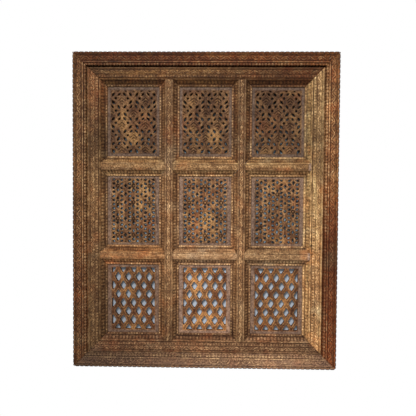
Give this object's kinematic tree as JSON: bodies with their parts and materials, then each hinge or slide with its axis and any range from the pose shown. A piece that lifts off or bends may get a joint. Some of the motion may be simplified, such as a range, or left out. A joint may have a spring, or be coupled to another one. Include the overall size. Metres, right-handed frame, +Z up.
{
  "type": "carved wooden jali window panel",
  "caption": "Tall rectangular carved wood window screen: double moulded frame, mullions and transoms, and pierced lattice panels in three patterns.",
  "frame": {"origin": "centre of the back face of the outer frame's top board, where the panel is fixed to a wall", "axes": "+Z up the panel, +Y out of its back towards the wall, +X to the right as seen from the carved side"},
  "size_m": [1.2, 0.088, 1.432],
  "materials": {
    "outer_frame_wood": "weathered dark teak, waxed by handling, dirt in the carving",
    "inner_frame_wood": "weathered brown teak, dirt in the carving",
    "pale_jamb_wood": "pale sun-bleached teak, worn carving",
    "mullion_wood": "weathered brown teak, dirt in the carving",
    "transom_wood": "weathered warm teak, worn along the fillets",
    "pierced_panel_wood": "orange-brown teak with greyed borders"
  },
  "bodies": {
    "root": {"outer_frame_top": "outer_frame_wood", "outer_frame_bottom": "outer_frame_wood", "outer_frame_left": "outer_frame_wood", "outer_frame_right": "outer_frame_wood", "inner_frame_top": "inner_frame_wood", "inner_frame_bottom": "inner_frame_wood", "inner_frame_left": "inner_frame_wood", "inner_frame_right": "pale_jamb_wood", "mullion_left": "mullion_wood", "mullion_right": "mullion_wood", "transom_upper_left": "transom_wood", "transom_upper_middle": "transom_wood", "transom_upper_right": "transom_wood", "transom_lower_left": "transom_wood", "transom_lower_middle": "transom_wood", "transom_lower_right": "transom_wood", "panel_top_left": "pierced_panel_wood", "panel_top_middle": "pierced_panel_wood", "panel_top_right": "pierced_panel_wood", "panel_middle_left": "pierced_panel_wood", "panel_middle_middle": "pierced_panel_wood", "panel_middle_right": "pierced_panel_wood", "panel_bottom_left": "pierced_panel_wood", "panel_bottom_middle": "pierced_panel_wood", "panel_bottom_right": "pierced_panel_wood"}
  },
  "joints": []
}
